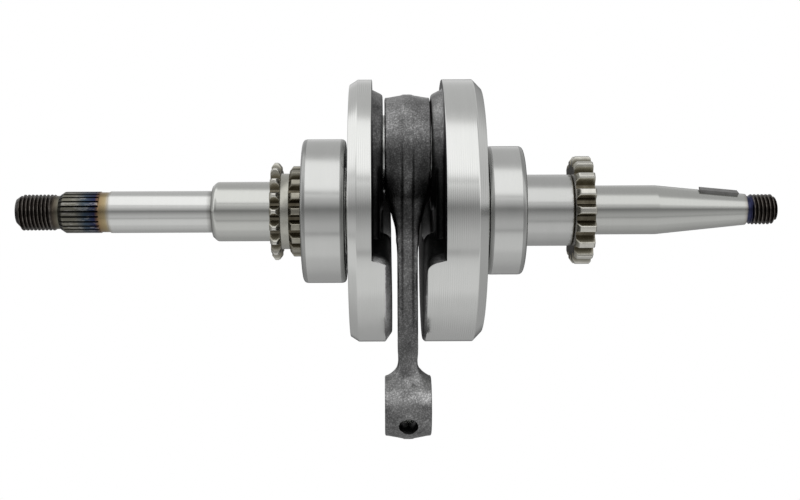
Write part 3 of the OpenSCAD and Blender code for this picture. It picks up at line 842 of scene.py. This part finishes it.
def bearing_ring(side, outer, body):
    """One race of a ball bearing, with rounded corners and its ball groove."""
    node = f"{side}_{'outer' if outer else 'inner'}_ring"
    (low, _, _), (high, radius, _) = box(node)
    ball_low, ball_high = box(f"{side}_ball_1")
    ball_r = (ball_high[0] - ball_low[0]) / 2
    pitch_r = math.hypot(*((ball_low + ball_high) / 2)[1:])
    groove_r = ball_r + 0.1
    lip = 0.62 * ball_r
    way = 1 if outer else -1
    back, corner = (radius, 1.6) if outer else (JOURNAL_R, 0.5)
    shoulder = pitch_r + way * lip
    reach = math.acos(lip / groove_r)
    groove = [
        ((low + high) / 2 + groove_r * math.sin(a), pitch_r + way * groove_r * math.cos(a))
        for a in np.linspace(-reach, reach, 13)
    ]
    flank = [(high, shoulder, 0.15), (high, back, corner), (low, back, corner), (low, shoulder, 0.15)]
    loop = [*soften([groove[-1], *flank, groove[0]], steps=6), *groove[1:-1]]
    columns = 256
    vertices, faces = ring_shell(lathe_rows(loop, even_angles(columns)))
    # The rounded corners' faces take the darker steel, a painted shade.
    slots = []
    for (x0, r0), (x1, r1) in zip(loop, loop[1:] + loop[:1]):
        sloping = min(abs(x1 - x0), abs(r1 - r0)) > 0.04 * math.hypot(x1 - x0, r1 - r0)
        slots += [int(sloping and abs(r0 - back) < corner + 0.01)] * columns
    obj = mesh_object(f"{node}_finished", vertices, faces, [race_steel, painted_dark_corner_steel], slots, sharp=50)
    return stand_for(obj, body, node)


def collar():
    (low, _, _), (high, radius, _) = COLLAR
    loop = soften([(low, GEAR_SEAT_R), (low, radius, 0.5), (high, radius, 0.5), (high, GEAR_SEAT_R)])
    vertices, faces = ring_shell(lathe_rows(loop, even_angles(200)))
    obj = mesh_object("collar_finished", vertices, faces, [collar_steel], sharp=50)
    return stand_for(obj, "crank", "spacer_collar")


# ---------------------------------------------------------------- connecting rod

BIG_W = 14.4
SMALL_W = 14.9
BIG_BORE_R = 15.0
SMALL_BORE_R = mount("small_end_bore")["dims"]["r_mm"]
BIG_CENTRE = Vector((CENTRE_X, PIN[1], PIN[2]))
SMALL_CENTRE = Vector((CENTRE_X, PIN[1], SMALL_END_Z))
FLASH_HALF_W = 1.95
FLASH_HEIGHT = 0.24
OIL_HOLE_R = 2.2
# Distance from the small end's centre at which the countersink starts
SINK_START = 8.6
OIL_HOLE_TILT = math.radians(34.5)
OIL_HOLE_OUT = Vector((0, -math.cos(OIL_HOLE_TILT), -math.sin(OIL_HOLE_TILT)))


def relax(mesh, low, high, times):
    """Smooths the middle of the rod between two heights, fading out at the ends and sides."""
    points = np.empty(len(mesh.vertices) * 3)
    mesh.vertices.foreach_get("co", points)
    points = points.reshape(-1, 3)
    edges = np.empty(len(mesh.edges) * 2, np.int32)
    mesh.edges.foreach_get("vertices", edges)
    a, b = edges.reshape(-1, 2).T
    count = np.bincount(np.concatenate([a, b]), minlength=len(points))[:, None]
    x, z = np.abs(points[:, 0] / MM - CENTRE_X), points[:, 2] / MM
    ends = np.clip((z - low) / 4, 0, 1) * np.clip((high - z) / 4, 0, 1)
    weight = (0.6 * ends * np.clip((7 - x) / 1.5, 0, 1))[:, None]
    for _ in range(times):
        around = np.stack([
            np.bincount(a, points[b, k], len(points)) + np.bincount(b, points[a, k], len(points))
            for k in range(3)
        ], 1) / count
        points += (around - points) * weight
    mesh.vertices.foreach_set("co", points.ravel())
    mesh.update()


def forge(mesh, grain):
    """Leaves the flash line proud round the forging's parting plane and roughens its skin."""
    points, normals = np.empty(len(mesh.vertices) * 3), np.empty(len(mesh.vertices) * 3)
    mesh.vertices.foreach_get("co", points)
    mesh.vertices.foreach_get("normal", normals)
    points, normals = points.reshape(-1, 3) / MM, normals.reshape(-1, 3)
    across = np.abs(points[:, 0] - CENTRE_X)
    outline = np.clip(1 - np.abs(normals[:, 0]) * 1.6, 0, 1)
    band = np.clip((FLASH_HALF_W - across) / 0.5, 0, 1)
    rough = np.array([noise.noise(p * 1.1) + 0.6 * noise.noise(p * 2.7) for p in map(Vector, points)])
    points += normals * (FLASH_HEIGHT * outline * (band - 1) + grain * (rough - 0.6))[:, None]
    mesh.vertices.foreach_set("co", (points * MM).ravel())


def countersink(along):
    """Radius of the small end's oil hole at a distance from the small end's centre."""
    return max(OIL_HOLE_R, OIL_HOLE_R + (along - SINK_START) * 0.55)


def oil_hole():
    """The small end's oil hole and its countersink, as a closed shell."""
    profile = [(2, 0.1), *((x, countersink(x)) for x in (2, SINK_START, 13)), (13, 0.1)]
    vertices, faces = capped_shell(lathe_rows(profile, even_angles(64)))
    side = np.array([1.0, 0, 0])
    axes = np.stack([np.array(OIL_HOLE_OUT), side, np.cross(OIL_HOLE_OUT, side)])
    return vertices @ axes + np.array(SMALL_CENTRE), faces


def mark_machined(mesh):
    """Gives the bores and thrust faces the machined material, and the oil hole its own near-black material,
    painted shade inside the hole.
    """
    for face in mesh.polygons:
        point = face.center / MM
        big = math.hypot(point.y - BIG_CENTRE.y, point.z - BIG_CENTRE.z)
        small = math.hypot(point.y - SMALL_CENTRE.y, point.z - SMALL_CENTRE.z)
        outside = abs(face.normal.x) > 0.97 and abs(point.x - CENTRE_X) > BIG_W / 2 - 0.25
        thrust = outside and big < BIG_BORE_R + 1.3
        bored = big < BIG_BORE_R + 0.02 or small < SMALL_BORE_R + 0.02
        along = (point - SMALL_CENTRE).dot(OIL_HOLE_OUT)
        off = (point - SMALL_CENTRE - along * OIL_HOLE_OUT).length
        drilled = not bored and along > SMALL_BORE_R - 0.5 and off < countersink(along) + 0.02
        face.material_index = 2 if drilled else int(bored or thrust)


def connecting_rod():
    """The forged rod: its skin smoothed and roughened, then its bores machined."""
    vertices, faces, _ = joined(
        shell_of(frame["nodes"]["connecting_rod"].data),
        disc_shell(BIG_CENTRE, BIG_BORE_R + 0.4, BIG_W - 0.1),
        disc_shell(SMALL_CENTRE, SMALL_BORE_R + 0.4, SMALL_W - 0.1),
    )
    obj = mesh_object("rod_finished", vertices, faces, [forged_rod, rim_steel, painted_shade_hole_steel])
    skin = obj.modifiers.new("skin", "REMESH")
    skin.mode = "VOXEL"
    skin.voxel_size = 0.38 * MM
    smooth = obj.modifiers.new("smooth", "SMOOTH")
    smooth.factor = 0.5
    smooth.iterations = 12
    bake_modifiers(obj)
    relax(obj.data, -10, 13, 60)
    relax(obj.data, -66, -45, 50)
    forge(obj.data, 0.03)
    bores = [disc_shell(BIG_CENTRE, BIG_BORE_R, 20), disc_shell(SMALL_CENTRE, SMALL_BORE_R, 20)]
    for shell in (*bores, oil_hole()):
        cut_away(obj, mesh_object("cutter", *shell[:2], [rim_steel]))
    finish_mesh(obj.data, 50)
    mark_machined(obj.data)
    return stand_for(obj, "rod", "connecting_rod")


# ---------------------------------------------------------------- build

crank_half(
    "drive_half_finished", DRIVE_WEB, forged_drive_web, drive_shaft_shell, drive_shaft_steel,
    "drive_crank_half",
)
crank_half(
    "magneto_half_finished", MAGNETO_WEB, forged_magneto_web, magneto_shaft_shell, magneto_shaft_steel,
    "magneto_crank_half",
)
timing_sprocket()
pump_gear()
collar()
for bearing_side in ("drive", "magneto"):
    bearing_ring(bearing_side, True, "bearing_rings")
    bearing_ring(bearing_side, False, "crank")
connecting_rod()


def paint(node, material):
    """Gives a carried-over CAD node its material."""
    data = frame["nodes"][node].data
    data.materials.clear()
    data.materials.append(material)


for name in frame["nodes"]:
    if "ball_" in name or "roller_" in name:
        paint(name, ball_steel)
    elif "cage" in name:
        paint(name, cage_steel)
    elif name in ("crank_pin", "crank_pin_plug"):
        paint(name, pin_steel)
paint("woodruff_key", key_steel)
key_edge = frame["nodes"]["woodruff_key"].modifiers.new("edge", "BEVEL")
key_edge.width = 0.35 * MM
key_edge.segments = 3


# ---------------------------------------------------------------- light, stage and camera

# Brightness of the light tent by degrees above level in front of the crank. 180 is straight behind it
# by way of the top, and -180 by way of the bottom.
LIGHT_LEVELS = [
    (-180, 0.08), (-170, 0.1), (-158, 0.38), (-125, 0.47), (-100, 0.61), (-84, 0.66), (-74, 0.78),
    (-52, 0.77), (-43, 0.70), (-39, 0.50), (-36, 0.44), (-34, 0.61), (-22, 0.58), (-8, 0.39), (1, 0.23),
    (6, 0.38), (10, 0.53), (14, 0.62), (18.5, 0.72), (21.5, 1.0), (24, 0.66), (26, 0.66), (29, 1.08),
    (34, 1.24), (72, 1.24), (80, 1.16), (83, 0.9), (88, 0.70), (98, 0.60), (140, 0.62), (158, 0.75),
    (172, 0.1),
]
LEAN = 0.2

CAMERA_BACK = 419.0
CAMERA_DOWN = 12.8
CAMERA_SIDE = CENTRE_X - 7.2
CAMERA_PAN = math.radians(-0.26)


def studio_light():
    """A light tent whose brightness depends on how far round the X axis a direction lies. Its upper
    edge leans towards the back on the drive side."""
    world = bpy.data.worlds.new("studio")
    bpy.context.scene.world = world
    world.use_nodes = True
    tree = world.node_tree
    tree.nodes.clear()
    n = Nodes(tree, "Generated")
    angle = n.math("ARCTAN2", n.z, n.math("MULTIPLY", n.y, -1.0))
    round_axis = n.math("MULTIPLY_ADD", angle, 1 / (2 * math.pi), 0.5)
    lean = n.math("MULTIPLY", n.x, n.math("MAXIMUM", n.z, 0.0))
    level = n.ramp(n.math("MULTIPLY_ADD", lean, LEAN, round_axis), [
        (degrees / 360 + 0.5, brightness) for degrees, brightness in LIGHT_LEVELS
    ])
    background = tree.nodes.new("ShaderNodeBackground")
    out = tree.nodes.new("ShaderNodeOutputWorld")
    tree.links.new(level, background.inputs["Color"])
    tree.links.new(background.outputs[0], out.inputs["Surface"])


def white_stage():
    """A pale floor and backdrop that only the camera sees, so that they throw no light of their own."""
    material = bpy.data.materials.new("pale_stage")
    material.use_nodes = True
    tree = material.node_tree
    tree.nodes.clear()
    out = tree.nodes.new("ShaderNodeOutputMaterial")
    glow = tree.nodes.new("ShaderNodeEmission")
    glow.inputs["Color"].default_value = (1, 1, 1, 1)
    tree.links.new(glow.outputs[0], out.inputs["Surface"])
    bpy.ops.mesh.primitive_plane_add(size=3.0, location=(0, 0, cad_box[0][2] - 0.004))
    floor = bpy.context.object
    floor.name = "floor"
    bpy.ops.mesh.primitive_uv_sphere_add(segments=48, ring_count=24, radius=2.4)
    dome = bpy.context.object
    dome.name = "backdrop"
    for obj in (floor, dome):
        obj.data.materials.append(material)
        obj.visible_diffuse = False
        obj.visible_glossy = False
        obj.visible_transmission = False
        obj.visible_shadow = False


def photo_camera():
    """The photograph's view: square to the crank's axis, from just below it."""
    data = bpy.data.cameras.new("camera")
    data.sensor_width = 36
    data.lens = 57.5
    data.shift_x = 0.01875
    obj = bpy.data.objects.new("camera", data)
    bpy.context.scene.collection.objects.link(obj)
    place = Matrix.Translation(Vector((CAMERA_SIDE, -CAMERA_BACK, -CAMERA_DOWN)) * MM)
    level = Matrix.Rotation(math.radians(90), 4, "X") @ Matrix.Rotation(CAMERA_PAN, 4, "Z")
    obj.matrix_world = place @ level
    bpy.context.scene.camera = obj


studio_light()
white_stage()
photo_camera()
bpy.context.scene.view_settings.view_transform = "Standard"
